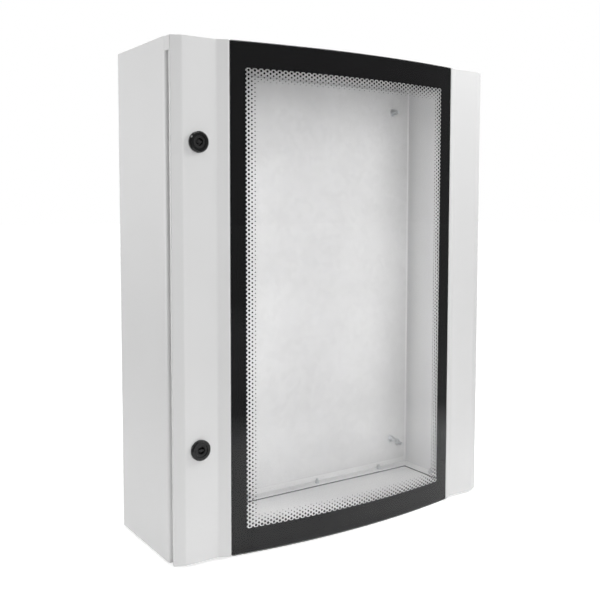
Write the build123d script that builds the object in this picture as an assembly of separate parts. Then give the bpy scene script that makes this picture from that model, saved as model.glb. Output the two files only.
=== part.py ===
from build123d import *
import math
import os

os.makedirs("parts", exist_ok=True)

# Wall-mounted distribution board, in millimetres: X to the right, Y into the wall, Z up.
# The wall plane is Y = 0, and the origin is the middle of the four wall-fixing holes.
# "Forward" is the distance from the wall plane towards the person at the door.

# Cabinet
WIDTH = 600.0
HEIGHT = 750.0
BODY_DEPTH = 178.0
SHEET = 1.5
SIDE_ROLL = 7.0
END_ROLL = 3.0
BACK_BEND = 1.0
SIDE_FLANGE = 22.5
END_FLANGE = 19.5
LIP_HEIGHT = 9.0
WALL_HOLE_R = 4.5
WALL_HOLE_INSET_X = 45.0
WALL_HOLE_INSET_Z = 40.0

# Mounting plate on its studs
PLATE_T = 2.0
PLATE_SIDE_GAP = 11.5
PLATE_END_GAP = 13.0
PLATE_CORNER_R = 4.0
PLATE_STANDOFF = 6.5
PLATE_STUD_INSET_X = 36.0
PLATE_STUD_INSET_Z = 42.0
PLATE_STUD_R = 3.0
PLATE_STUD_LENGTH = 24.0
PLATE_NUT_FLATS = 10.0
PLATE_NUT_T = 6.4
PLATE_NUT_FLANGE_R = 7.5
PLATE_NUT_FLANGE_T = 1.4
PLATE_COLLAR_R = 7.0

# Cable gland plate under the floor
GLAND_SIDE_MARGIN = 20.0
GLAND_BACK_MARGIN = 20.0
GLAND_FRONT_MARGIN = 30.0
GLAND_OVERLAP = 13.0
GLAND_PLATE_T = 1.5
GLAND_GASKET_T = 2.0
GLAND_GASKET_WIDTH = 4.5
GLAND_STUD_R = 2.5
GLAND_STUD_OUTSIDE = 8.5
GLAND_STUD_ABOVE_FLOOR = 8.0
GLAND_STUD_PITCH = 147.0
GLAND_STUDS_BEHIND = 4
GLAND_NUT_FLATS = 8.0
GLAND_NUT_T = 4.0

# Earthing stud near the mounting plate's lower right corner
EARTH_STUD_R = 3.0
EARTH_STUD_LENGTH = 16.0
EARTH_INSET_X = 19.0
EARTH_INSET_Z = 32.0
EARTH_WASHER_R = 6.5
EARTH_WASHER_T = 1.2
EARTH_NUT_FLATS = 10.0
EARTH_NUT_T = 5.0

# Door
DOOR_END_REVEAL = 1.0
SEAM = 8.0
EDGE_WALL = 5.0
EDGE_RETURN = 12.0
SHOULDER_RUN = 16.0
SHOULDER_RISE = 7.0
FLAT_RUN = 52.0
RAMP_RUN = 18.0
RAMP_RISE = 9.2
GLASS_RISE = 8.0
EDGE_BEND = 0.6
SHOULDER_BEND = 6.0
RIDGE_BEND = 0.6
SEAT_WIDTH = 20.0
SEAM_TAB = 20.0
SEAM_TAB_GAP = 0.5
FRAME_END_INSET = 3.0
FRAME_END_WIDTH = 24.0
FRAME_SIDE_WIDTH = 47.0
RAIL_HEIGHT = 24.0
RAIL_INSET = 1.0
GASKET_WIDTH = 7.5
GASKET_GAP = 0.3

# Bowed glass and its black printed border
GLASS_T = 4.0
GLASS_BOW = 19.0
GLASS_EDGE_GAP = 0.5
PRINT_INSET = 0.5
BORDER_SIDE = 24.0
BORDER_END = 37.0
PRINT_T = 0.3
BOND_T = 2.0
BOND_WIDTH = 14.0
BOND_INSET = 2.0
LAYER_GAP = 0.05

# Quarter-turn locks
LOCK_INSET = 39.0
UPPER_LOCK_FROM_TOP = 146.0
LOWER_LOCK_FROM_BOTTOM = 166.0
LOCK_HEAD_R = 15.0
LOCK_HEAD_T = 5.0
LOCK_HEAD_CHAMFER = 2.0
LOCK_SEAL_R = 13.5
LOCK_SEAL_T = 1.0
LOCK_BARREL_R = 10.0
LOCK_NUT_FLATS = 24.0
LOCK_NUT_T = 5.0
LOCK_RECESS_R = 9.5
LOCK_RECESS_DEPTH = 2.5
CORE_R = 7.5
CORE_FLANGE_R = 9.2
CORE_FLANGE_T = 1.2
CORE_WELL_R = 5.6
CORE_WELL_DEPTH = 7.0
KEY_PIN_R = 2.2
KEY_BELOW_FACE = 0.8
KEY_BIT_SPAN = 8.6
KEY_BIT_T = 2.0
TENON = 7.0
CAM_T = 3.0
CAM_REACH = 32.0
CAM_HUB_R = 9.0
CAM_TIP_R = 6.0
CAM_BEHIND_FLANGE = 1.3
CAM_SCREW_R = 2.4
CAM_SCREW_HEAD_R = 6.0
CAM_SCREW_HEAD_T = 2.5
CAM_SCREW_LENGTH = 12.0

# Concealed hinges
HINGE_FROM_END = 100.0
HINGE_AXIS_INSET = 8.0
HINGE_AXIS_BEFORE_FLANGE = 10.0
HINGE_PIN_R = 2.0
HINGE_KNUCKLE_R = 3.5
HINGE_KNUCKLE = 14.0
HINGE_LEAF_KNUCKLE = 12.7
HINGE_KNUCKLE_GAP = 0.3
HINGE_PIN_HEAD_R = 3.2
HINGE_PIN_HEAD_T = 2.0
HINGE_SHEET = 3.0
HINGE_LEG_GAP = 0.5
HINGE_ARM_T = 3.5
HINGE_ARM_BEHIND_AXIS = 1.2
HINGE_NOTCH_LIP = 4.0
HINGE_NOTCH_GAP = 3.0
HINGE_BASE_T = 2.5
HINGE_BASE_WIDTH = 8.0
HINGE_BASE_GAP = 1.0
HINGE_BASE_HEIGHT = 40.0

# Fits between pieces
RUNNING_GAP = 0.05
BOLT_GAP = 0.3
SEAT_GAP = 0.3
CUT = 1.0

# Places that the pieces share
half_width = WIDTH / 2
half_height = HEIGHT / 2
floor_top = -half_height + SHEET
flange_back = BODY_DEPTH - SHEET
lip_front = BODY_DEPTH + LIP_HEIGHT
mouth_width = WIDTH - 2 * SIDE_FLANGE
mouth_height = HEIGHT - 2 * END_FLANGE

roll_radius = SIDE_ROLL + SHEET
roll_left = roll_radius - SHEET - SEAM_TAB_GAP
tab_back = BODY_DEPTH - roll_radius + math.sqrt(roll_radius**2 - roll_left**2)

door_half_height = half_height - DOOR_END_REVEAL
return_forward = BODY_DEPTH + SEAM
edge_forward = return_forward + EDGE_WALL
flat_forward = edge_forward + SHOULDER_RISE
ridge_forward = flat_forward + RAMP_RISE
glass_edge_forward = flat_forward + GLASS_RISE
shoulder_turn = math.atan2(SHOULDER_RISE, SHOULDER_RUN)
flat_start = SHOULDER_RUN + (SHOULDER_BEND + SHEET) * math.tan(shoulder_turn / 2)
ramp_start = SHOULDER_RUN + FLAT_RUN
ridge_inset = ramp_start + RAMP_RUN
frame_front = flat_forward - SHEET
frame_back = frame_front - SHEET

glass_half_width = half_width - ridge_inset - GLASS_EDGE_GAP
glass_radius = (glass_half_width**2 + GLASS_BOW**2) / (2 * GLASS_BOW)
glass_centre = glass_edge_forward + GLASS_BOW - glass_radius
print_radius = glass_radius - GLASS_T - LAYER_GAP
bond_radius = print_radius - PRINT_T - LAYER_GAP
seat_radius = bond_radius - BOND_T - LAYER_GAP

lock_x = -half_width + LOCK_INSET
lock_heights = {
    "upper": half_height - UPPER_LOCK_FROM_TOP,
    "lower": -half_height + LOWER_LOCK_FROM_BOTTOM,
}
lock_head_back = flat_forward + LOCK_SEAL_T
lock_head_front = lock_head_back + LOCK_HEAD_T
recess_floor = lock_head_front - LOCK_RECESS_DEPTH
cam_front = flange_back - CAM_BEHIND_FLANGE
cam_back = cam_front - CAM_T
core_shoulder = cam_front + SEAT_GAP
barrel_back = core_shoulder + SEAT_GAP

hinge_x = half_width - HINGE_AXIS_INSET
hinge_forward = BODY_DEPTH + HINGE_AXIS_BEFORE_FLANGE
hinge_heights = {
    "upper": half_height - HINGE_FROM_END,
    "lower": -half_height + HINGE_FROM_END,
}


def facing(forward):
    """Plane that faces the front at a distance from the wall, with X across and Z up."""
    return Plane.XZ.offset(forward)


def slab(sketch, back, front):
    """A sketch seen from the front, given thickness from one forward distance to another."""
    return extrude(facing(back) * sketch, front - back)


def upright(sketch, bottom, top):
    """A plan sketch given height."""
    return extrude(Plane.XY.offset(bottom) * sketch, top - bottom)


def plan_box(x_low, x_high, back, front):
    """A plan rectangle between two X places and two forward distances."""
    return Pos((x_low + x_high) / 2, -(back + front) / 2) * Rectangle(x_high - x_low, front - back)


def repeat(places, sketch):
    """The same sketch at several places."""
    return Sketch() + [Pos(x, z) * sketch for x, z in places]


def corners(x, z):
    """Four places, mirrored about the middle."""
    return [(side * x, end * z) for side in (-1, 1) for end in (-1, 1)]


def frame_sketch(outer_width, outer_height, inner_width, inner_height):
    """A rectangular frame seen from the front."""
    return Rectangle(outer_width, outer_height) - Rectangle(inner_width, inner_height)


def ring(outer_r, inner_r):
    """A washer's outline."""
    return Circle(outer_r) - Circle(inner_r)


def hexagon(flats, bore_r):
    """A hexagon nut's outline."""
    return RegularPolygon(flats / 2, 6, major_radius=False) - Circle(bore_r)


def bowed_forward(radius, x):
    """Forward distance of a bowed layer at X."""
    return glass_centre + math.sqrt(radius**2 - x**2)


def bowed_area(radius, half_span, back):
    """Plan area behind a bowed layer: curved in front and straight at the back."""
    side = -bowed_forward(radius, half_span)
    front = ThreePointArc((-half_span, side), (0, -bowed_forward(radius, 0)), (half_span, side))
    rest = Polyline((half_span, side), (half_span, -back), (-half_span, -back), (-half_span, side))
    return make_face([front, rest])


def bowed_sheet(radius, thickness, half_span, half_tall):
    """A sheet bent to the door's bow, with its front at the given radius."""
    back = bowed_forward(radius - thickness, half_span) - CUT
    outer = bowed_area(radius, half_span, back)
    inner = bowed_area(radius - thickness, half_span + CUT, back - CUT)
    return upright(outer - inner, -half_tall, half_tall)


def folded_radii(points, bends, thickness):
    """Radii of a folded sheet's show face, from the inner radius of each bend."""
    radii = []
    for before, corner, after, bend in zip(points, points[1:], points[2:], bends):
        turn = (corner - before).cross(after - corner).Z
        radii.append(bend + thickness if turn > 0 else bend)
    return radii


def folded_sheet(points, bends, thickness):
    """Section of a folded sheet whose show face runs through the points, with its back on the left."""
    radii = folded_radii(points, bends, thickness)
    show_face = Wire(FilletPolyline(*points, radius=radii).edges())
    return make_face(show_face.offset_2d(thickness, side=Side.LEFT, closed=True))


# Cabinet: one folded shell with a rolled front edge, a front flange and a sealing lip


def cabinet_block(inset, bend_extra):
    """The cabinet's outer or inner form: its plan given height, cut to its side view."""
    depth = BODY_DEPTH - 2 * inset
    plan = Pos(0, -BODY_DEPTH / 2) * Rectangle(WIDTH - 2 * inset, depth)
    plan = fillet(plan.vertices().group_by(Axis.Y)[-1], BACK_BEND + bend_extra)
    plan = fillet(plan.vertices().group_by(Axis.Y)[0], SIDE_ROLL + bend_extra)
    side_view = Pos(-BODY_DEPTH / 2, 0) * Rectangle(depth, HEIGHT - 2 * inset)
    side_view = fillet(side_view.vertices().group_by(Axis.X)[0], END_ROLL + bend_extra)
    block = upright(plan, -half_height, half_height)
    return block & extrude(Plane.YZ * side_view, half_width, both=True)


wall_holes = corners(half_width - WALL_HOLE_INSET_X, half_height - WALL_HOLE_INSET_Z)

gland_back = GLAND_BACK_MARGIN
gland_front = BODY_DEPTH - GLAND_FRONT_MARGIN
gland_half_width = half_width - GLAND_SIDE_MARGIN


def gland_area(extra):
    """Plan of the cable opening, made larger all round."""
    side = gland_half_width + extra
    return plan_box(-side, side, gland_back - extra, gland_front + extra)


gland_opening = gland_area(0)
gland_row = [GLAND_STUD_PITCH * (i - (GLAND_STUDS_BEHIND - 1) / 2) for i in range(GLAND_STUDS_BEHIND)]
gland_places = [(x, -(gland_back - GLAND_STUD_OUTSIDE)) for x in gland_row]
for end in (-1, 1):
    gland_places.append((end * gland_row[-1], -(gland_front + GLAND_STUD_OUTSIDE)))
    gland_places.append((end * (gland_half_width + GLAND_STUD_OUTSIDE), -(gland_back + gland_front) / 2))
gland_holes = repeat(gland_places, Circle(GLAND_STUD_R + BOLT_GAP))

hinge_base_low = half_width - SIDE_FLANGE + SHEET + HINGE_BASE_GAP
hinge_base_high = hinge_base_low + HINGE_BASE_WIDTH


def enclosure_body():
    body = cabinet_block(0, SHEET) - cabinet_block(SHEET, 0)
    mouth = Rectangle(mouth_width, mouth_height)
    body -= slab(mouth, flange_back - CUT, BODY_DEPTH + CUT)
    lip = frame_sketch(mouth_width + 2 * SHEET, mouth_height + 2 * SHEET, mouth_width, mouth_height)
    body += slab(lip, flange_back, lip_front)
    body -= slab(repeat(wall_holes, Circle(WALL_HOLE_R)), -CUT, SHEET + CUT)
    body -= upright(gland_opening + gland_holes, -half_height - CUT, floor_top + CUT)
    return body


# Mounting plate, clamped by flanged nuts against the collars of four studs

plate_half_width = half_width - SHEET - PLATE_SIDE_GAP
plate_half_height = half_height - SHEET - PLATE_END_GAP
plate_back = SHEET + PLATE_STANDOFF
plate_front = plate_back + PLATE_T
plate_studs = corners(plate_half_width - PLATE_STUD_INSET_X, plate_half_height - PLATE_STUD_INSET_Z)


def mounting_plate():
    outline = RectangleRounded(2 * plate_half_width, 2 * plate_half_height, PLATE_CORNER_R)
    holes = repeat(plate_studs, Circle(PLATE_STUD_R + BOLT_GAP))
    return slab(outline - holes, plate_back, plate_front)


def plate_fixings():
    bore = PLATE_STUD_R + RUNNING_GAP
    flanges = repeat(plate_studs, ring(PLATE_NUT_FLANGE_R, bore))
    nuts = repeat(plate_studs, hexagon(PLATE_NUT_FLATS, bore))
    nut_front = plate_front + PLATE_NUT_T
    nuts = slab(nuts, plate_front, nut_front) + slab(flanges, plate_front, plate_front + PLATE_NUT_FLANGE_T)
    studs = slab(repeat(plate_studs, Circle(PLATE_STUD_R)), SHEET, SHEET + PLATE_STUD_LENGTH)
    return {
        "plate_studs": studs + slab(repeat(plate_studs, Circle(PLATE_COLLAR_R)), SHEET, plate_back),
        "plate_nuts": nuts,
    }


# Gland plate: closes the floor opening from below, over a gasket, on welded studs

gasket_bottom = -half_height - GLAND_GASKET_T
base_bottom = gasket_bottom - GLAND_PLATE_T


def gland_pieces():
    nut = hexagon(GLAND_NUT_FLATS, GLAND_STUD_R + RUNNING_GAP)
    studs = repeat(gland_places, Circle(GLAND_STUD_R))
    gasket = gland_area(GLAND_GASKET_WIDTH) - gland_opening
    return {
        "gland_gasket": upright(gasket, gasket_bottom, -half_height),
        "gland_plate": upright(gland_area(GLAND_OVERLAP), base_bottom, gasket_bottom),
        "gland_studs": upright(studs, gasket_bottom, floor_top + GLAND_STUD_ABOVE_FLOOR),
        "gland_nuts": upright(repeat(gland_places, nut), floor_top, floor_top + GLAND_NUT_T),
    }


def earth_pieces():
    place = Pos(plate_half_width - EARTH_INSET_X, -plate_half_height + EARTH_INSET_Z)
    bore = EARTH_STUD_R + RUNNING_GAP
    washer_front = plate_front + EARTH_WASHER_T
    nut = hexagon(EARTH_NUT_FLATS, bore)
    return {
        "earth_stud": slab(place * Circle(EARTH_STUD_R), plate_front, plate_front + EARTH_STUD_LENGTH),
        "earth_washer": slab(place * ring(EARTH_WASHER_R, bore), plate_front, washer_front),
        "earth_nut": slab(place * nut, washer_front, washer_front + EARTH_NUT_T),
    }


# Door stiles: folded pans with a hemmed edge, a shoulder, a flat, and a ridge round the glass

ridge_x = -half_width + ridge_inset
seat_x = ridge_x + SEAT_WIDTH
seat_low = bowed_forward(seat_radius, ridge_x)
seat_high = bowed_forward(seat_radius, seat_x)
stile_points = [
    Vector(-half_width + EDGE_RETURN, -return_forward),
    Vector(-half_width, -return_forward),
    Vector(-half_width, -edge_forward),
    Vector(-half_width + SHOULDER_RUN, -flat_forward),
    Vector(-half_width + ramp_start, -flat_forward),
    Vector(ridge_x, -ridge_forward),
    Vector(ridge_x, -seat_low),
    Vector(seat_x, -seat_high),
]
stile_bends = [EDGE_BEND, EDGE_BEND, SHOULDER_BEND, SHOULDER_BEND, RIDGE_BEND, RIDGE_BEND]

stile_end = [
    Vector(ridge_x, -seat_low),
    Vector(ridge_x, -return_forward),
    Vector(-half_width + EDGE_RETURN, -return_forward),
]
lock_holes = repeat([(lock_x, z) for z in lock_heights.values()], Circle(LOCK_BARREL_R + BOLT_GAP))


def stile():
    """The left-hand stile, closed at both ends by folded flaps."""
    skin = upright(folded_sheet(stile_points, stile_bends, SHEET), -door_half_height, door_half_height)
    radii = folded_radii(stile_points[:-1], stile_bends, SHEET)
    pan = make_face([FilletPolyline(*stile_points[:-1], radius=radii), Polyline(*stile_end)])
    for bottom in (-door_half_height, door_half_height - SHEET):
        skin += upright(pan, bottom, bottom + SHEET)
    return skin


def lock_stile():
    tab = plan_box(-half_width, -half_width + SHEET, tab_back, edge_forward - EDGE_BEND)
    piece = stile() + upright(tab, door_half_height - SEAM_TAB, door_half_height)
    return piece - slab(lock_holes, frame_front - CUT, flat_forward + CUT)


def hinge_stile():
    piece = mirror(stile(), about=Plane.YZ)
    low = half_width - EDGE_RETURN - CUT
    high = half_width - HINGE_NOTCH_LIP
    notch = plan_box(low, high, return_forward - CUT, return_forward + SHEET + EDGE_BEND)
    for z in hinge_heights.values():
        piece -= upright(notch, z - hinge_half_tall - HINGE_NOTCH_GAP, z + hinge_half_tall + HINGE_NOTCH_GAP)
    return piece


# Door frame behind the glass: a flat inner frame for the gasket, and two bowed rails

frame_half_width = half_width - flat_start - SEAT_GAP
frame_half_height = door_half_height - FRAME_END_INSET
rail_half_width = half_width - ridge_inset - SEAT_WIDTH - SEAT_GAP


def inner_frame():
    outline = frame_sketch(
        2 * frame_half_width,
        2 * frame_half_height,
        2 * (frame_half_width - FRAME_SIDE_WIDTH),
        2 * (frame_half_height - FRAME_END_WIDTH),
    )
    return slab(outline - lock_holes, frame_back, frame_front)


def top_rail():
    """A channel whose front wall follows the bow, open towards the window."""
    top = door_half_height - RAIL_INSET
    block = upright(bowed_area(seat_radius, rail_half_width, frame_front), top - RAIL_HEIGHT, top)
    hollow = bowed_area(seat_radius - SHEET, rail_half_width + CUT, frame_front + SHEET)
    return block - upright(hollow, top - RAIL_HEIGHT - CUT, top - SHEET)


def door_gasket():
    width = WIDTH - 2 * SIDE_FLANGE + SHEET
    height = HEIGHT - 2 * END_FLANGE + SHEET
    outline = frame_sketch(
        width + GASKET_WIDTH, height + GASKET_WIDTH, width - GASKET_WIDTH, height - GASKET_WIDTH
    )
    return slab(outline, lip_front + GASKET_GAP, frame_back)


# Bowed glass, the print on its back and the bead that bonds it


def bowed_frame(radius, thickness, inset, width_x, width_z):
    """A frame bent to the bow, with its outer edge inside the glass edge by the inset."""
    half_span = glass_half_width - inset
    half_tall = door_half_height - inset
    sheet = bowed_sheet(radius, thickness, half_span, half_tall)
    window = Rectangle(2 * (half_span - width_x), 2 * (half_tall - width_z))
    return sheet - slab(window, frame_front, glass_edge_forward + GLASS_BOW)


def glass_pieces():
    border_x = BORDER_SIDE - PRINT_INSET
    border_z = BORDER_END - PRINT_INSET
    return {
        "door_glass": bowed_sheet(glass_radius, GLASS_T, glass_half_width, door_half_height),
        "glass_print": bowed_frame(print_radius, PRINT_T, PRINT_INSET, border_x, border_z),
        "glass_bond": bowed_frame(bond_radius, BOND_T, BOND_INSET, BOND_WIDTH, BOND_WIDTH),
    }


# Concealed hinges: a goose-neck bracket welded to the flange, a leaf on the door and a pin

hinge_half_tall = HINGE_KNUCKLE / 2 + HINGE_KNUCKLE_GAP + HINGE_LEAF_KNUCKLE
hinge_arm_back = hinge_forward - HINGE_ARM_BEHIND_AXIS
hinge_arm_front = hinge_arm_back + HINGE_ARM_T
hinge_leg_low = half_width - SIDE_FLANGE + SHEET / 2 + GASKET_WIDTH / 2 + HINGE_LEG_GAP
leaf_low = half_width - flat_start
leaf_high = leaf_low + HINGE_SHEET
leaf_skin = edge_forward + (half_width - leaf_high) * SHOULDER_RISE / SHOULDER_RUN
leaf_front = leaf_skin - SHEET / math.cos(shoulder_turn) - 2 * SEAT_GAP


def hinge_arm(start):
    """Plan of a knuckle and the arm that carries it."""
    arm = plan_box(start, hinge_x, hinge_arm_back, hinge_arm_front)
    eye = Pos(hinge_x, -hinge_forward)
    return arm + eye * Circle(HINGE_KNUCKLE_R) - eye * Circle(HINGE_PIN_R + RUNNING_GAP)


def hinge_bracket(z):
    half_knuckle = HINGE_KNUCKLE / 2
    base_front = BODY_DEPTH + HINGE_BASE_T
    leg = plan_box(hinge_leg_low, hinge_leg_low + HINGE_SHEET, base_front - CUT, hinge_arm_front)
    base_width = hinge_base_high - hinge_base_low
    base = Pos((hinge_base_low + hinge_base_high) / 2, z) * Rectangle(base_width, HINGE_BASE_HEIGHT)
    piece = slab(base, BODY_DEPTH, base_front)
    return piece + upright(leg + hinge_arm(hinge_leg_low), z - half_knuckle, z + half_knuckle)


def hinge_leaf(z):
    strip = plan_box(leaf_low, leaf_high, hinge_arm_front + SEAT_GAP, leaf_front)
    arm = hinge_arm(leaf_low) + plan_box(leaf_low, leaf_high, hinge_arm_back, leaf_front)
    inner = HINGE_KNUCKLE / 2 + HINGE_KNUCKLE_GAP
    piece = upright(strip, z - hinge_half_tall, z + hinge_half_tall)
    piece += upright(arm, z + inner, z + hinge_half_tall)
    return piece + upright(arm, z - hinge_half_tall, z - inner)


def hinge_pin(z):
    eye = Pos(hinge_x, -hinge_forward)
    top = z + hinge_half_tall
    shank = upright(eye * Circle(HINGE_PIN_R), z - hinge_half_tall, top)
    return shank + upright(eye * Circle(HINGE_PIN_HEAD_R), top, top + HINGE_PIN_HEAD_T)


# Quarter-turn locks: a housing nutted into the stile, a double-bit core, and a cam behind the flange


def lock_housing(z):
    place = Pos(lock_x, z)
    head = slab(place * Circle(LOCK_HEAD_R), lock_head_back, lock_head_front)
    front_edge = head.faces().sort_by(Axis.Y)[0].edges()
    head = chamfer(front_edge, LOCK_HEAD_CHAMFER)
    piece = head + slab(place * Circle(LOCK_BARREL_R), barrel_back, lock_head_back)
    piece -= slab(place * Circle(CORE_R + RUNNING_GAP), barrel_back - CUT, lock_head_front + CUT)
    return piece - slab(place * Circle(LOCK_RECESS_R), recess_floor, lock_head_front + CUT)


def lock_core(z):
    place = Pos(lock_x, z)
    face_back = recess_floor + RUNNING_GAP
    face = face_back + CORE_FLANGE_T
    well_floor = face - CORE_WELL_DEPTH
    piece = slab(place * Circle(CORE_R), core_shoulder, face_back)
    piece += slab(place * Circle(CORE_FLANGE_R), face_back, face)
    piece -= slab(place * Circle(CORE_WELL_R), well_floor, face + CUT)
    key = Circle(KEY_PIN_R) + Rectangle(KEY_BIT_SPAN, KEY_BIT_T)
    piece += slab(place * key, well_floor - CUT, face - KEY_BELOW_FACE)
    piece += slab(place * Rectangle(TENON, TENON), cam_back + SEAT_GAP, core_shoulder + CUT)
    screw_hole = place * Circle(CAM_SCREW_R + RUNNING_GAP)
    return piece - slab(screw_hole, cam_back, cam_back + CAM_SCREW_LENGTH + CUT)


def lock_cam(z):
    hub = Circle(CAM_HUB_R)
    tip = Pos(0, CAM_REACH - CAM_TIP_R) * Circle(CAM_TIP_R)
    square = TENON + 2 * RUNNING_GAP
    outline = make_hull(hub.edges() + tip.edges()) - Rectangle(square, square)
    return slab(Pos(lock_x, z) * outline, cam_back, cam_front)


def cam_screw(z):
    place = Pos(lock_x, z)
    head = slab(place * Circle(CAM_SCREW_HEAD_R), cam_back - CAM_SCREW_HEAD_T, cam_back)
    return head + slab(place * Circle(CAM_SCREW_R), cam_back, cam_back + CAM_SCREW_LENGTH)


def lock_nut(z):
    nut = Rot(0, 0, 30) * hexagon(LOCK_NUT_FLATS, LOCK_BARREL_R + RUNNING_GAP)
    return slab(Pos(lock_x, z) * nut, frame_back - LOCK_NUT_T, frame_back)


def lock_seal(z):
    outline = ring(LOCK_SEAL_R, LOCK_BARREL_R + RUNNING_GAP)
    return slab(Pos(lock_x, z) * outline, flat_forward, lock_head_back)


pieces = {
    "enclosure_body": enclosure_body(),
    "mounting_plate": mounting_plate(),
    "lock_stile": lock_stile(),
    "hinge_stile": hinge_stile(),
    "inner_frame": inner_frame(),
    "top_rail": top_rail(),
    "bottom_rail": mirror(top_rail(), about=Plane.XY),
    "door_gasket": door_gasket(),
}
pieces |= plate_fixings() | gland_pieces() | earth_pieces() | glass_pieces()
for where, height in hinge_heights.items():
    pieces[f"{where}_hinge_bracket"] = hinge_bracket(height)
    pieces[f"{where}_hinge_leaf"] = hinge_leaf(height)
    pieces[f"{where}_hinge_pin"] = hinge_pin(height)
for where, height in lock_heights.items():
    pieces[f"{where}_lock_housing"] = lock_housing(height)
    pieces[f"{where}_lock_seal"] = lock_seal(height)
    pieces[f"{where}_lock_nut"] = lock_nut(height)
    pieces[f"{where}_lock_core"] = lock_core(height)
    pieces[f"{where}_lock_cam"] = lock_cam(height)
    pieces[f"{where}_cam_screw"] = cam_screw(height)

for name, shape in pieces.items():
    export_step(shape, f"parts/{name}.step")
print(len(pieces), "pieces written")
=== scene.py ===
# %% [markdown]
# # A distribution board with a bowed glass door
# The board is a folded steel cabinet for a wall. Its door is one bowed sheet of tempered glass
# between two steel stiles, with a black printed border that fades inwards in rows of dots.
# The imported solids are loaded first, and everything below is dressed onto them, in metres:
# X to the right, Y into the wall, Z up. The box of the solids is kept, and the floor is laid under
# it.

# %% Load the solids
import math

import bpy
from mathutils import Matrix, Vector


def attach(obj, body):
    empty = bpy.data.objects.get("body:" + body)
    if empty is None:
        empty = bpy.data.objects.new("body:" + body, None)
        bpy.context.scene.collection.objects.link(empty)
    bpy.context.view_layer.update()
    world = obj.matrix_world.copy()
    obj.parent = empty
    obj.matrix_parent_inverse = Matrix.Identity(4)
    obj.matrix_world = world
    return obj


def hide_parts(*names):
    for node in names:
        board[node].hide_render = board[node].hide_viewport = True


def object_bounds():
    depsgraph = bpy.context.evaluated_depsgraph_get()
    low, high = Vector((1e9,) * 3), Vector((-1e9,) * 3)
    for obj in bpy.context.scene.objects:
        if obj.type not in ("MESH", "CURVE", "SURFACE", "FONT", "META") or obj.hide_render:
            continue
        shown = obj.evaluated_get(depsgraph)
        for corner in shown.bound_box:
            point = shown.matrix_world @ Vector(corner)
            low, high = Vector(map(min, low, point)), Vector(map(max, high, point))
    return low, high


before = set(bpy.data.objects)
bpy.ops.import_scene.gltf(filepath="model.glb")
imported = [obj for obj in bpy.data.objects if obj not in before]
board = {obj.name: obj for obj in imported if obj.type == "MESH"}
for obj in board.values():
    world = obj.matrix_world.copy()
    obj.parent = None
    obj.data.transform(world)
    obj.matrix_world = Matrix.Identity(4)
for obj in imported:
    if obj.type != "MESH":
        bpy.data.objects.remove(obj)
solid_box = [list(corner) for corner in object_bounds()]
scene = bpy.context.scene
MM = 0.001
print("solids:", len(board), "box", solid_box)

# %% [markdown]
# ## The camera
# The photograph was taken from the front left, a little above the board's middle. The place and
# the turn below come from matching the door's edges, the window and the locks. The lens axis
# meets the picture above its middle, so a small shift moves the picture instead of a tilt,
# which would make the upright edges lean.

# %% Camera
PICTURE_PX = 600.0
FOCAL_PX = 821.4
AXIS_ROW_PX = 259.37
SENSOR_WIDTH = 36.0
VIEW_END = 50.0
CAMERA_PLACE_MM = (-784.5, -1238.7, 140.7)
CAMERA_YAW = 0.589
CAMERA_PITCH = 0.0656
CAMERA_ROLL = -0.0013

lens = bpy.data.cameras.new("camera")
lens.sensor_width = SENSOR_WIDTH
lens.lens = FOCAL_PX * SENSOR_WIDTH / PICTURE_PX
lens.shift_y = (AXIS_ROW_PX - PICTURE_PX / 2) / PICTURE_PX
lens.clip_end = VIEW_END

ahead = Vector((math.sin(CAMERA_YAW) * math.cos(CAMERA_PITCH),
                math.cos(CAMERA_YAW) * math.cos(CAMERA_PITCH),
                -math.sin(CAMERA_PITCH)))
level_right = Vector((math.cos(CAMERA_YAW), -math.sin(CAMERA_YAW), 0.0))
level_down = ahead.cross(level_right)
right = level_right * math.cos(CAMERA_ROLL) + level_down * math.sin(CAMERA_ROLL)
up = right.cross(ahead)
turn = Matrix((right, up, -ahead)).transposed()
camera = bpy.data.objects.new("camera", lens)
camera.matrix_world = Matrix.Translation(Vector(CAMERA_PLACE_MM) * MM) @ turn.to_4x4()
scene.collection.objects.link(camera)
scene.camera = camera
print("lens", round(lens.lens, 2), "mm, shift", round(lens.shift_y, 4))

# %% [markdown]
# ## Helpers for materials and trees
# Colours are picked as sRGB hex values, the way a paint card gives them, while shaders work in
# linear light, so one function turns the first into the second. Another adds a node to a tree:
# its settings are plain attributes, and each of its sockets takes a value or a link. A node
# given as a value stands for its first output.

# %% Colour and node helpers
def linear(hex_colour):
    channels = [int(hex_colour[i:i + 2], 16) / 255 for i in (1, 3, 5)]
    return [c / 12.92 if c <= 0.04045 else ((c + 0.055) / 1.055) ** 2.4 for c in channels] + [1.0]


def add(tree, kind, sockets=None, **settings):
    node = tree.nodes.new(kind)
    for name, value in settings.items():
        setattr(node, name, value)
    for socket, value in (sockets or {}).items():
        if isinstance(value, bpy.types.Node):
            value = value.outputs[0]
        if isinstance(value, bpy.types.NodeSocket):
            tree.links.new(value, node.inputs[socket])
        else:
            node.inputs[socket].default_value = value
    return node


def new_finish(name):
    finish = bpy.data.materials.new(name)
    finish.use_nodes = True
    finish.node_tree.nodes.clear()
    return finish, finish.node_tree


# %% [markdown]
# ## Powder-coated steel
# The cabinet and the stiles are sprayed with light grey polyester powder and baked. The powder
# melts into a satin skin with a very fine orange peel, so highlights are soft and the grey is
# even. The peel is about a millimetre from crest to crest, and it is drawn a little coarser,
# because it would be lost in a picture of this size. A slow noise varies the gloss a little: a
# wide flat sheet never takes the powder quite evenly.

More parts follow.
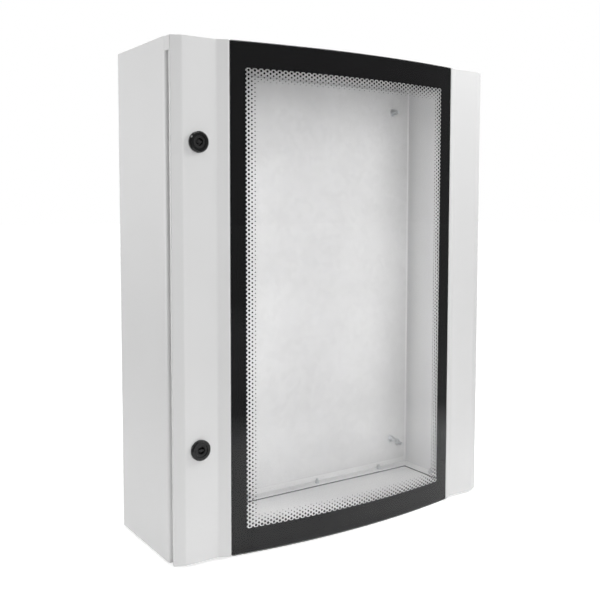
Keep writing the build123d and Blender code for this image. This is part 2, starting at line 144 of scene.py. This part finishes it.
# %% Powder coat
PEEL_MM = 1.6
PEEL_STRENGTH = 0.08
SKIN_DEPTH = 0.2 * MM
CLOUD_MM = 140.0
POWDER_SMOOTH = 0.40
POWDER_ROUGH = 0.50
COATING_IOR = 1.5
powder_coat, tree = new_finish("powder_coated_steel")
place = add(tree, "ShaderNodeTexCoord").outputs["Object"]
cloud = add(tree, "ShaderNodeTexNoise", {
    "Vector": place, "Scale": 1 / (CLOUD_MM * MM), "Detail": 2.0}).outputs["Fac"]
grey = add(tree, "ShaderNodeMix", {
    "Factor": cloud, "A": linear("#D3D3D3"), "B": linear("#D8D8D8")}, data_type="RGBA")
gloss = add(tree, "ShaderNodeMapRange", {
    "Value": cloud, "To Min": POWDER_SMOOTH, "To Max": POWDER_ROUGH})
peel = add(tree, "ShaderNodeTexNoise", {
    "Vector": place, "Scale": 1 / (PEEL_MM * MM), "Detail": 1.0}).outputs["Fac"]
skin = add(tree, "ShaderNodeBump", {
    "Height": peel, "Strength": PEEL_STRENGTH, "Distance": SKIN_DEPTH})
shader = add(tree, "ShaderNodeBsdfPrincipled", {
    "Base Color": grey.outputs["Result"], "Roughness": gloss, "IOR": COATING_IOR, "Normal": skin})
add(tree, "ShaderNodeOutputMaterial", {"Surface": shader})
print("made", powder_coat.name)

# %% [markdown]
# ## Galvanised sheet
# The mounting plate is hot-dip galvanised. Zinc freezes in crystals, so the sheet shows a pale
# spangle of flakes some ten millimetres wide, each with its own gloss. Broad cloudy patches,
# where the bath drained, are stronger than the spangle and nearly hide it.

# %% Galvanised sheet
SPANGLE_MM = 11.0
DRAIN_MM = 180.0
DRAIN_SHARE = 0.85
SPANGLE_SMOOTH = 0.36
SPANGLE_ROUGH = 0.48
DULL_ZINC_METALLIC = 0.2
galvanised, tree = new_finish("hot_dip_galvanised_sheet")
place = add(tree, "ShaderNodeTexCoord").outputs["Object"]
flake = add(tree, "ShaderNodeTexVoronoi", {"Vector": place, "Scale": 1 / (SPANGLE_MM * MM)})
tone = add(tree, "ShaderNodeSeparateColor", {"Color": flake.outputs["Color"]})
drain = add(tree, "ShaderNodeTexNoise", {
    "Vector": place, "Scale": 1 / (DRAIN_MM * MM), "Detail": 2.0}).outputs["Fac"]
blend = add(tree, "ShaderNodeMix", {
    "Factor": DRAIN_SHARE, "A": tone.outputs["Red"], "B": drain}).outputs["Result"]
zinc = add(tree, "ShaderNodeMix", {
    "Factor": blend, "A": linear("#B4B4B4"), "B": linear("#D4D4D4")}, data_type="RGBA")
gloss = add(tree, "ShaderNodeMapRange", {
    "Value": blend, "To Min": SPANGLE_SMOOTH, "To Max": SPANGLE_ROUGH})
shader = add(tree, "ShaderNodeBsdfPrincipled", {
    "Base Color": zinc.outputs["Result"], "Metallic": DULL_ZINC_METALLIC, "Roughness": gloss})
add(tree, "ShaderNodeOutputMaterial", {"Surface": shader})
print("made", galvanised.name)

# %% [markdown]
# ## Zinc-plated steel
# Studs, nuts, pins and hinge parts are plated. The plating is thin and bright and follows the
# turning marks of the metal below. The marks are finer than a picture of this size can show, so
# a noise of nearly a millimetre stands for them.

# %% Zinc plating
TURNING_MM = 0.8
PLATING_SMOOTH = 0.22
PLATING_ROUGH = 0.38
zinc_plate, tree = new_finish("bright_zinc_plating")
place = add(tree, "ShaderNodeTexCoord").outputs["Object"]
marks = add(tree, "ShaderNodeTexNoise", {
    "Vector": place, "Scale": 1 / (TURNING_MM * MM), "Detail": 2.0}).outputs["Fac"]
gloss = add(tree, "ShaderNodeMapRange", {
    "Value": marks, "To Min": PLATING_SMOOTH, "To Max": PLATING_ROUGH})
shader = add(tree, "ShaderNodeBsdfPrincipled", {
    "Base Color": linear("#C8CACC"), "Metallic": 1.0, "Roughness": gloss})
add(tree, "ShaderNodeOutputMaterial", {"Surface": shader})
print("made", zinc_plate.name)

# %% [markdown]
# ## Tempered glass
# Clear float glass, bent hot over a mould and then quenched. It mirrors a little and lets the
# inside of the cabinet show. A plain glass shader keeps lamps from lighting what is behind it,
# so for shadow rays the pane is transparent.

# %% Tempered glass
GLASS_IOR = 1.5
tempered_glass, tree = new_finish("bent_tempered_glass")
shader = add(tree, "ShaderNodeBsdfPrincipled", {
    "Base Color": linear("#F8F8F8"), "Roughness": 0.0, "IOR": GLASS_IOR,
    "Transmission Weight": 1.0})
open_air = add(tree, "ShaderNodeBsdfTransparent", {"Color": linear("#F6F6F6")})
path = add(tree, "ShaderNodeLightPath").outputs
pane = add(tree, "ShaderNodeMixShader", {0: path["Is Shadow Ray"], 1: shader, 2: open_air})
add(tree, "ShaderNodeOutputMaterial", {"Surface": pane})
print("made", tempered_glass.name)

# %% [markdown]
# ## The black finishes
# Enamel is printed on the back of the glass and fired, so it is seen through the glass as a deep
# even black. The bead of adhesive and the foam seals are dull. The lock housings are moulded
# from glossy black plastic, and the cores are die-cast and coated. They all share one recipe: a
# grain, drawn coarser than life to show at all, varies the tone and the gloss. Each row gives
# the deep and the pale tone, the least and the most roughness, and the specular level.

# %% Black finishes
GRAIN_MM = 0.9
GRAIN_STRENGTH = 0.05
BLACKS = {
    "fired_black_enamel": ("#070708", "#0A0A0B", 0.45, 0.55, 0.0),
    "black_adhesive": ("#151515", "#1B1B1B", 0.55, 0.70, 0.5),
    "foam_rubber": ("#1A1A1A", "#262626", 0.80, 0.95, 0.3),
    "moulded_black_plastic": ("#0C0C0D", "#101011", 0.18, 0.26, 0.5),
    "coated_die_cast": ("#0E0E0F", "#151516", 0.30, 0.42, 0.5),
}
black = {}
for name, (deep, pale, smooth, rough, sheen) in BLACKS.items():
    black[name], tree = new_finish(name)
    place = add(tree, "ShaderNodeTexCoord").outputs["Object"]
    grain = add(tree, "ShaderNodeTexNoise", {
        "Vector": place, "Scale": 1 / (GRAIN_MM * MM), "Detail": 2.0}).outputs["Fac"]
    tone = add(tree, "ShaderNodeMix", {
        "Factor": grain, "A": linear(deep), "B": linear(pale)}, data_type="RGBA")
    gloss = add(tree, "ShaderNodeMapRange", {"Value": grain, "To Min": smooth, "To Max": rough})
    skin = add(tree, "ShaderNodeBump", {
        "Height": grain, "Strength": GRAIN_STRENGTH, "Distance": SKIN_DEPTH})
    shader = add(tree, "ShaderNodeBsdfPrincipled", {
        "Base Color": tone.outputs["Result"], "Roughness": gloss, "Specular IOR Level": sheen,
        "Normal": skin})
    add(tree, "ShaderNodeOutputMaterial", {"Surface": shader})
print("made", ", ".join(black))

# %% [markdown]
# ## Dress the solids
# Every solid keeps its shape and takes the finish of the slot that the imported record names.

# %% Finishes onto the solids
FINISH_OF_SLOT = {
    "grey_powder_coated_steel": powder_coat,
    "galvanised_sheet": galvanised,
    "zinc_plated_steel": zinc_plate,
    "tempered_glass": tempered_glass,
    "black_enamel_print": black["fired_black_enamel"],
    "adhesive_bead": black["black_adhesive"],
    "black_rubber": black["foam_rubber"],
    "black_lock_plastic": black["moulded_black_plastic"],
    "black_coated_die_cast": black["coated_die_cast"],
}
for solid in board.values():
    for slot in solid.material_slots:
        slot.material = FINISH_OF_SLOT[slot.material.name.split(".")[0]]
print("dressed", len(board), "solids")

# %% [markdown]
# ## One arc for glass, border and dots
# The door's main piece is one sheet of glass bent to a single arc, so its shape follows a rule:
# every point of a flat sheet moves forward onto a circle. The black border and its dots lie on
# the back of the same sheet. Geometry Nodes fit this well, because width, bow and window stay
# named inputs. Two steps serve both trees below: one adds the named inputs and notes their
# identifiers, the other finds how far forward the arc is at a place across the door.

# %% Steps that both trees share
SQUARE = 2.0
TOWARDS_VIEWER = -1.0


def named_inputs(tree, kinds):
    identifiers = {}
    for name, kind in kinds.items():
        socket = tree.interface.new_socket(name, in_out="INPUT", socket_type="NodeSocket" + kind)
        identifiers[name] = socket.identifier
    return identifiers


def depth_on_arc(tree, given, across):
    bow = add(tree, "ShaderNodeMath", {0: given["Bow Radius"], 1: SQUARE}, operation="POWER")
    away = add(tree, "ShaderNodeMath", {0: across, 1: SQUARE}, operation="POWER")
    rest = add(tree, "ShaderNodeMath", {0: bow, 1: away}, operation="SUBTRACT")
    rise = add(tree, "ShaderNodeMath", {0: rest}, operation="SQRT")
    forward = add(tree, "ShaderNodeMath", {0: rise, 1: given["Bow Centre"]}, operation="ADD")
    return add(tree, "ShaderNodeMath", {0: forward, 1: TOWARDS_VIEWER}, operation="MULTIPLY")


# %% [markdown]
# ## The bowed sheet
# One tree makes both the glass and the border on its back: a grid is bent, the window is
# deleted where the sheet is a border, and the rest gets a thickness. Its inputs come first.

# %% A tree that bends a sheet
bend = bpy.data.node_groups.new("bowed_sheet", "GeometryNodeTree")
sizes = named_inputs(bend, {
    "Half Width": "Float", "Half Height": "Float", "Window Half Width": "Float",
    "Window Half Height": "Float", "Bow Radius": "Float", "Bow Centre": "Float",
    "Thickness": "Float", "Columns": "Int", "Open Window": "Bool", "Finish": "Material"})
bend.interface.new_socket("Sheet", in_out="OUTPUT", socket_type="NodeSocketGeometry")
given = add(bend, "NodeGroupInput").outputs
print(bend.name, "takes", ", ".join(sizes))

# %% [markdown]
# The tree starts from a flat grid that reaches from -1 to 1 each way. Its outermost lines go to
# the rim of the sheet and the lines next to them to the rim of the window, so a grid with four
# lines up is enough.

# %% Grid lines to their places
GRID_SPAN = 2.0
GRID_ROWS = 4
RIM_FROM = 0.9999
lines = add(bend, "ShaderNodeMath", {0: given["Columns"], 1: 1.0}, operation="ADD")
grid = add(bend, "GeometryNodeMeshGrid", {
    "Size X": GRID_SPAN, "Size Y": GRID_SPAN, "Vertices X": lines, "Vertices Y": GRID_ROWS})
flat = add(bend, "ShaderNodeSeparateXYZ", {0: add(bend, "GeometryNodeInputPosition")}).outputs
column = add(bend, "ShaderNodeMath", {0: GRID_SPAN, 1: given["Columns"]}, operation="DIVIDE")
place = {}
for axis, cell, whole, window in (
        ("X", column, "Half Width", "Window Half Width"),
        ("Y", GRID_SPAN / (GRID_ROWS - 1), "Half Height", "Window Half Height")):
    inner = add(bend, "ShaderNodeMath", {0: 1.0, 1: cell}, operation="SUBTRACT")
    share = add(bend, "ShaderNodeMath", {0: flat[axis], 1: inner}, operation="DIVIDE")
    within = add(bend, "ShaderNodeMath", {0: share, 1: given[window]}, operation="MULTIPLY")
    reach = add(bend, "ShaderNodeMath", {0: flat[axis]}, operation="ABSOLUTE")
    rim = add(bend, "ShaderNodeMath", {0: reach, 1: RIM_FROM}, operation="GREATER_THAN")
    edge = add(bend, "ShaderNodeMath", {0: flat[axis], 1: given[whole]}, operation="MULTIPLY")
    chosen = add(bend, "ShaderNodeMix", {"Factor": rim, "A": within, "B": edge})
    place[axis] = chosen.outputs["Result"]
print("a grid with", GRID_ROWS, "lines up, placed along", " and ".join(place))

# %% [markdown]
# Every point then moves onto the arc. A face whose middle lies within the window is deleted,
# unless the window is to stay closed, as it does in the glass.

# %% Bend the grid and open the window
spot = add(bend, "ShaderNodeCombineXYZ", {
    0: place["X"], 1: depth_on_arc(bend, given, place["X"]), 2: place["Y"]})
arc = add(bend, "GeometryNodeSetPosition", {"Geometry": grid, "Position": spot})

middle = add(bend, "ShaderNodeSeparateXYZ", {0: add(bend, "GeometryNodeInputPosition")}).outputs
gap = {}
for axis, window in (("X", "Window Half Width"), ("Z", "Window Half Height")):
    reach = add(bend, "ShaderNodeMath", {0: middle[axis]}, operation="ABSOLUTE")
    gap[axis] = add(bend, "ShaderNodeMath", {0: reach, 1: given[window]}, operation="LESS_THAN")
hole = add(bend, "ShaderNodeMath", {0: gap["X"], 1: gap["Z"]}, operation="MULTIPLY")
cut = add(bend, "ShaderNodeMath", {0: hole, 1: given["Open Window"]}, operation="MULTIPLY")
front = add(bend, "GeometryNodeDeleteGeometry", {"Geometry": arc, "Selection": cut}, domain="FACE")
print("bent, so far with", len(bend.nodes), "nodes")

# %% [markdown]
# A copy of the front is turned over and pushed back by the thickness, which adds the side walls
# too. Front and back are joined, and welding their doubles closes the shell.

# %% Thickness and finish
WELD = 0.01 * MM
turned = add(bend, "GeometryNodeFlipFaces", {"Mesh": front})
back = add(bend, "GeometryNodeExtrudeMesh", {
    "Mesh": turned, "Offset Scale": given["Thickness"], "Individual": False}, mode="FACES")
shell = add(bend, "GeometryNodeJoinGeometry")
for half in (front, back):
    bend.links.new(half.outputs[0], shell.inputs[0])
closed = add(bend, "GeometryNodeMergeByDistance", {"Geometry": shell, "Distance": WELD})
smooth = add(bend, "GeometryNodeSetShadeSmooth", {"Geometry": closed, "Shade Smooth": True})
realized = add(bend, "GeometryNodeRealizeInstances", {"Geometry": smooth})
coated = add(bend, "GeometryNodeSetMaterial", {"Geometry": realized, "Material": given["Finish"]})
add(bend, "NodeGroupOutput", {0: coated})
print("tree", bend.name, "has", len(bend.nodes), "nodes")

# %% [markdown]
# A modifier takes its inputs by the sockets' identifiers. Once its values are set, the result is
# turned into a plain mesh, the way every other piece of the board is kept.

# %% From a tree to a plain piece
SHARP_ANGLE = math.radians(25)


def from_tree(name, tree, identifiers, values, ground_edge=0.0):
    holder = bpy.data.objects.new(name, bpy.data.meshes.new(name + "_start"))
    scene.collection.objects.link(holder)
    grown = holder.modifiers.new("tree", "NODES")
    grown.node_group = tree
    for value_name, value in values.items():
        grown[identifiers[value_name]] = value
    if ground_edge:
        ground = holder.modifiers.new("ground_edge", "BEVEL")
        ground.width = ground_edge
        ground.segments = 1
    ready = holder.evaluated_get(bpy.context.evaluated_depsgraph_get())
    mesh = bpy.data.meshes.new_from_object(ready)
    mesh.set_sharp_from_angle(angle=SHARP_ANGLE)
    holder.modifiers.clear()
    holder.data = mesh
    mesh.name = name
    print(name, "has", len(mesh.polygons), "faces")
    return holder


# %% [markdown]
# The sheet is 4 mm thick and bows forward by 19 mm between the stiles. The smooth arc is drawn a
# tenth of a millimetre flatter, to stay within the solid's facets. The sharp edge of cut
# glass is ground off before it is tempered, which gives the bright hairline along its rim.

# %% Bowed glass
GLASS_HALF_WIDTH = 213.5 * MM
GLASS_HALF_HEIGHT = 374.0 * MM
GLASS_EDGE_FORWARD = 206.0 * MM
GLASS_THICK = 4.0 * MM
GLASS_BOW = 18.9 * MM
GLASS_COLUMNS = 72
GROUND_EDGE = 0.4 * MM
WINDOW_HALF_WIDTH = 189.5 * MM
WINDOW_HALF_HEIGHT = 337.0 * MM
bow_radius = (GLASS_HALF_WIDTH ** 2 + GLASS_BOW ** 2) / (2 * GLASS_BOW)
bow_centre = GLASS_EDGE_FORWARD + GLASS_BOW - bow_radius
even_columns = GLASS_HALF_WIDTH * (1 - 2 / GLASS_COLUMNS)

sheet_of_glass = from_tree("bowed_glass", bend, sizes, {
    "Half Width": GLASS_HALF_WIDTH, "Half Height": GLASS_HALF_HEIGHT,
    "Window Half Width": even_columns, "Window Half Height": WINDOW_HALF_HEIGHT,
    "Bow Radius": bow_radius, "Bow Centre": bow_centre, "Thickness": GLASS_THICK,
    "Columns": GLASS_COLUMNS, "Open Window": False, "Finish": tempered_glass}, GROUND_EDGE)
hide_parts("door_glass")
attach(sheet_of_glass, "door")

# %% [markdown]
# The enamel is fired into the glass, with no air between, so the border starts a hair inside the
# glass: that way only the front of the sheet mirrors, and the black stays deep.

# %% Printed border
PRINT_INSET = 0.5 * MM
PRINT_THICK = 0.3 * MM
PRINT_SUNK = 0.12 * MM
print_radius = bow_radius - GLASS_THICK + PRINT_SUNK

border = from_tree("printed_border", bend, sizes, {
    "Half Width": GLASS_HALF_WIDTH - PRINT_INSET, "Half Height": GLASS_HALF_HEIGHT - PRINT_INSET,
    "Window Half Width": WINDOW_HALF_WIDTH, "Window Half Height": WINDOW_HALF_HEIGHT,
    "Bow Radius": print_radius, "Bow Centre": bow_centre, "Thickness": PRINT_THICK,
    "Columns": GLASS_COLUMNS, "Open Window": True, "Finish": black["fired_black_enamel"]})
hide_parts("glass_print")
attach(border, "door")

# %% [markdown]
# ## The dots
# The print fades out in rows of dots, staggered like a chessboard and smaller row by row. They
# are printed with the border, on the same arc. A grid of points covers the window, only every
# second point near its edge is kept, and a thin twelve-sided disc goes onto each. On the real
# glass the dots of a column stand some 5 mm apart. That is too fine for a picture of this size,
# so they are drawn a little coarser, and wider apart across, where the view foreshortens them.

# %% A tree that prints the dots
dots = bpy.data.node_groups.new("dot_rows", "GeometryNodeTree")
dot_sizes = named_inputs(dots, {
    "Half Width": "Float", "Half Height": "Float", "Bow Radius": "Float", "Bow Centre": "Float",
    "Across": "Int", "Up": "Int", "Fade": "Float", "First Dot": "Float", "Last Dot": "Float",
    "Thickness": "Float", "Finish": "Material"})
dots.interface.new_socket("Dots", in_out="OUTPUT", socket_type="NodeSocketGeometry")
given = add(dots, "NodeGroupInput").outputs
print(dots.name, "takes", ", ".join(dot_sizes))

# %% [markdown]
# The grid has a point wherever a dot could be, with the gaps of the chessboard among them. It is
# bent like the sheet.

# %% A grid of points on the arc
AXES = (("X", "Across", "Half Width"), ("Z", "Up", "Half Height"))
WHOLE_FROM_HALF = 2.0
count = {}
span = {}
for axis, steps, half in AXES:
    count[axis] = add(dots, "ShaderNodeMath", {0: given[steps], 1: 1.0}, operation="ADD")
    span[axis] = add(dots, "ShaderNodeMath", {0: given[half], 1: WHOLE_FROM_HALF},
                     operation="MULTIPLY")
grid = add(dots, "GeometryNodeMeshGrid", {
    "Size X": span["X"], "Size Y": span["Z"], "Vertices X": count["X"], "Vertices Y": count["Z"]})
flat = add(dots, "ShaderNodeSeparateXYZ", {0: add(dots, "GeometryNodeInputPosition")}).outputs
spot = add(dots, "ShaderNodeCombineXYZ", {
    0: flat["X"], 1: depth_on_arc(dots, given, flat["X"]), 2: flat["Y"]})
arc = add(dots, "GeometryNodeSetPosition", {"Geometry": grid, "Position": spot})
print("points on the arc, so far with", len(dots.nodes), "nodes")

# %% [markdown]
# Each point is numbered across and up. Points whose two numbers add up to an odd one are spare,
# which leaves the chessboard, and so are those further from the edge than the fade reaches.

# %% Which points are kept
EVERY_SECOND = 2.0
point = add(dots, "ShaderNodeSeparateXYZ", {0: add(dots, "GeometryNodeInputPosition")}).outputs
number = {}
from_edge = {}
for axis, steps, half in AXES:
    moved = add(dots, "ShaderNodeMath", {0: point[axis], 1: given[half]}, operation="ADD")
    share = add(dots, "ShaderNodeMath", {0: moved, 1: span[axis]}, operation="DIVIDE")
    along = add(dots, "ShaderNodeMath", {0: share, 1: given[steps]}, operation="MULTIPLY")
    number[axis] = add(dots, "ShaderNodeMath", {0: along}, operation="ROUND")
    reach = add(dots, "ShaderNodeMath", {0: point[axis]}, operation="ABSOLUTE")
    from_edge[axis] = add(dots, "ShaderNodeMath", {0: given[half], 1: reach}, operation="SUBTRACT")
both = add(dots, "ShaderNodeMath", {0: number["X"], 1: number["Z"]}, operation="ADD")
odd = add(dots, "ShaderNodeMath", {0: both, 1: EVERY_SECOND}, operation="MODULO")
inwards = add(dots, "ShaderNodeMath", {0: from_edge["X"], 1: from_edge["Z"]}, operation="MINIMUM")
too_deep = add(dots, "ShaderNodeMath", {0: inwards, 1: given["Fade"]}, operation="GREATER_THAN")
spare = add(dots, "ShaderNodeMath", {0: too_deep, 1: odd}, operation="MAXIMUM")
kept = add(dots, "GeometryNodeDeleteGeometry", {"Geometry": arc, "Selection": spare},
           domain="POINT")
print("points chosen, so far with", len(dots.nodes), "nodes")

# %% [markdown]
# A disc goes onto each point that is left. It stands square to the arc, and its radius shrinks
# from the edge inwards.

# %% A disc on each point
DISC_SIDES = 12
radius = add(dots, "ShaderNodeMapRange", {
    "Value": inwards, "From Max": given["Fade"],
    "To Min": given["First Dot"], "To Max": given["Last Dot"]})
size = add(dots, "ShaderNodeCombineXYZ", {0: radius, 1: radius, 2: given["Thickness"]})
lean = add(dots, "ShaderNodeMath", {0: point["Y"], 1: given["Bow Centre"]}, operation="ADD")
facing = add(dots, "ShaderNodeCombineXYZ", {0: point["X"], 1: lean, 2: 0.0})
stand = add(dots, "FunctionNodeAlignRotationToVector", {"Vector": facing}, axis="Z")
disc = add(dots, "GeometryNodeMeshCylinder", {
    "Vertices": DISC_SIDES, "Radius": 1.0, "Depth": 1.0}, fill_type="NGON")
printed = add(dots, "GeometryNodeInstanceOnPoints", {
    "Points": kept, "Instance": disc, "Rotation": stand, "Scale": size})
realized = add(dots, "GeometryNodeRealizeInstances", {"Geometry": printed})
coated = add(dots, "GeometryNodeSetMaterial", {"Geometry": realized, "Material": given["Finish"]})
add(dots, "NodeGroupOutput", {0: coated})
print("tree", dots.name, "has", len(dots.nodes), "nodes")

# %% [markdown]
# A step of the grid is half the distance between two dots of a row or a column, because every
# second point is left out. The first dots lie on the border's edge, so half of each shows.

# %% Print the dots
STEP_ACROSS = 4.8 * MM
STEP_UP = 3.1 * MM
DOT_FADE = 19.0 * MM
FIRST_DOT = 2.15 * MM
LAST_DOT = 0.6 * MM
gradient = from_tree("printed_dots", dots, dot_sizes, {
    "Half Width": WINDOW_HALF_WIDTH, "Half Height": WINDOW_HALF_HEIGHT,
    "Bow Radius": print_radius - PRINT_THICK / 2, "Bow Centre": bow_centre,
    "Across": 2 * round(WINDOW_HALF_WIDTH / STEP_ACROSS),
    "Up": 2 * round(WINDOW_HALF_HEIGHT / STEP_UP),
    "Fade": DOT_FADE, "First Dot": FIRST_DOT, "Last Dot": LAST_DOT, "Thickness": PRINT_THICK,
    "Finish": black["fired_black_enamel"]})
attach(gradient, "door")

# %% [markdown]
# ## Floor and background
# The floor is a round sheet of pale paper on a darker ground. It takes the board's shadow. For
# the eye and through glass it gets a little light of its own, which turns it white. The black
# border mirrors the pale paper below and a dim room above. In mirrors the ground is as bright
# as that room, so no horizon shows.

# %% Paper and ground
PAPER_NEAR = 0.85
PAPER_FAR = 1.1
PAPER_GLOW = 0.6
GROUND_GLOW = 1.1
DIM_ROOM = 0.20
pale_floor, tree = new_finish("pale_floor")
path = add(tree, "ShaderNodeLightPath").outputs
place = add(tree, "ShaderNodeTexCoord").outputs["Object"]
away = add(tree, "ShaderNodeVectorMath", {0: place}, operation="LENGTH").outputs["Value"]
paper = add(tree, "ShaderNodeMapRange", {
    "Value": away, "From Min": PAPER_NEAR, "From Max": PAPER_FAR, "To Min": 1.0, "To Max": 0.0})
pale = add(tree, "ShaderNodeMix", {
    "Factor": paper, "A": linear("#5A5A5A"), "B": linear("#E6E6E6")}, data_type="RGBA")
direct = add(tree, "ShaderNodeMath", {0: path["Is Camera Ray"], 1: path["Is Transmission Ray"]},
             operation="MAXIMUM")
for_eye = add(tree, "ShaderNodeMapRange", {
    "Value": paper, "To Min": GROUND_GLOW, "To Max": PAPER_GLOW})
eye_lift = add(tree, "ShaderNodeMath", {0: direct, 1: for_eye}, operation="MULTIPLY")
mirror_lift = add(tree, "ShaderNodeMath", {0: path["Is Glossy Ray"], 1: DIM_ROOM},
                  operation="MULTIPLY")
lift = add(tree, "ShaderNodeMath", {0: eye_lift, 1: mirror_lift}, operation="MAXIMUM")
matt = add(tree, "ShaderNodeBsdfDiffuse", {"Color": pale.outputs["Result"]})
glow = add(tree, "ShaderNodeEmission", {"Strength": lift})
lit = add(tree, "ShaderNodeAddShader", {0: matt, 1: glow})
add(tree, "ShaderNodeOutputMaterial", {"Surface": lit})
print("made", pale_floor.name)

# %% [markdown]
# The floor lies under the lowest solid. It is far larger than the view, so its edge stays out
# of sight.

# %% Floor sheet
FLOOR_Z = solid_box[0][2]
FLOOR_HALF = 20.0
ends = ((-1, -1), (1, -1), (1, 1), (-1, 1))
corners = [(x * FLOOR_HALF, y * FLOOR_HALF, FLOOR_Z) for x, y in ends]
sheet = bpy.data.meshes.new("floor")
sheet.from_pydata(corners, [], [(0, 1, 2, 3)])
sheet.materials.append(pale_floor)
floor = bpy.data.objects.new("floor", sheet)
scene.collection.objects.link(floor)
print("floor at", round(FLOOR_Z, 4))

# %% [markdown]
# The background is plain white for the eye and through glass. It lights the board only weakly
# and evenly. Mirrors see the dim room in front of the board and white behind it.

# %% White background
AMBIENT = 0.12
FRONT_UNTIL = -0.3
BEHIND_FROM = 0.2
world = bpy.data.worlds.new("studio")
scene.world = world
world.use_nodes = True
tree = world.node_tree
tree.nodes.clear()
path = add(tree, "ShaderNodeLightPath").outputs
direction = add(tree, "ShaderNodeTexCoord").outputs["Generated"]
heading = add(tree, "ShaderNodeSeparateXYZ", {0: direction}).outputs["Y"]
room = add(tree, "ShaderNodeMapRange", {
    "Value": heading, "From Min": FRONT_UNTIL, "From Max": BEHIND_FROM,
    "To Min": DIM_ROOM, "To Max": 1.0})
direct = add(tree, "ShaderNodeMath", {0: path["Is Camera Ray"], 1: path["Is Transmission Ray"]},
             operation="MAXIMUM")
soft_light = add(tree, "ShaderNodeBackground", {"Strength": AMBIENT})
mirror_room = add(tree, "ShaderNodeBackground", {"Strength": room})
backdrop = add(tree, "ShaderNodeBackground", {"Strength": 1.0})
for light in (soft_light, mirror_room, backdrop):
    light.inputs["Color"].default_value = linear("#FFFFFF")
in_mirror = add(tree, "ShaderNodeMixShader", {
    0: path["Is Glossy Ray"], 1: soft_light, 2: mirror_room})
mix = add(tree, "ShaderNodeMixShader", {0: direct, 1: in_mirror, 2: backdrop})
add(tree, "ShaderNodeOutputWorld", {"Surface": mix})
print("ambient", AMBIENT, "room in mirrors", DIM_ROOM)

# %% [markdown]
# ## Lamps
# Round soft lamps stand about the board and point at its middle. The front and the left ones
# light the door and the side, and the rest keep the other sides from going dull. Each row gives
# the turn from the front towards the right and the height, both in degrees, the distance and
# the span in metres, and the power in watts.

# %% Lamps
LAMPS = {
    "front_lamp": (-10, 8, 3.0, 1.2, 32.6),
    "front_left_lamp": (-26, 4, 3.0, 0.8, 12.2),
    "left_lamp": (-124, 6, 3.0, 1.6, 55.0),
    "right_lamp": (52, 34, 1.7, 0.5, 13.6),
    "high_right_lamp": (74, 66, 3.0, 1.2, 14.0),
    "high_left_lamp": (-61, 43, 3.0, 0.35, 5.0),
    "top_lamp": (0, 78, 3.0, 2.0, 12.0),
    "back_lamp": (165, 35, 3.2, 2.0, 25.0),
}
for name, (turn_deg, height_deg, distance, span, watts) in LAMPS.items():
    lamp = bpy.data.lights.new(name, "AREA")
    lamp.shape = "DISK"
    lamp.size = span
    lamp.energy = watts
    turn = math.radians(turn_deg)
    height = math.radians(height_deg)
    spot = Vector((math.sin(turn) * math.cos(height),
                   -math.cos(turn) * math.cos(height),
                   math.sin(height)))
    holder = bpy.data.objects.new(name, lamp)
    holder.location = spot * distance
    holder.rotation_euler = (-spot).to_track_quat("-Z", "Y").to_euler()
    holder.visible_camera = False
    scene.collection.objects.link(holder)
print("lamps:", ", ".join(LAMPS))

# %% [markdown]
# The black border and the right stile keep the front lamps off the right part of the mounting
# plate, which is bright in the photograph. A weak strip behind the stile makes up for that. It
# faces the plate, and neither the eye nor a mirror sees it.

# %% Fill lamp
FILL_PLACE = (242 * MM, -168 * MM, 0.0)
FILL_FACING = (-0.15, 1.0, 0.0)
FILL_WIDTH = 30 * MM
FILL_HEIGHT = 640 * MM
FILL_WATTS = 0.30
fill = bpy.data.lights.new("fill_lamp", "AREA")
fill.shape = "RECTANGLE"
fill.size = FILL_WIDTH
fill.size_y = FILL_HEIGHT
fill.energy = FILL_WATTS
strip = bpy.data.objects.new("fill_lamp", fill)
strip.location = FILL_PLACE
strip.rotation_euler = Vector(FILL_FACING).to_track_quat("-Z", "Y").to_euler()
strip.visible_camera = False
strip.visible_glossy = False
strip.visible_transmission = False
scene.collection.objects.link(strip)
scene.view_settings.view_transform = "Standard"
print("fill lamp", FILL_WATTS, "W")
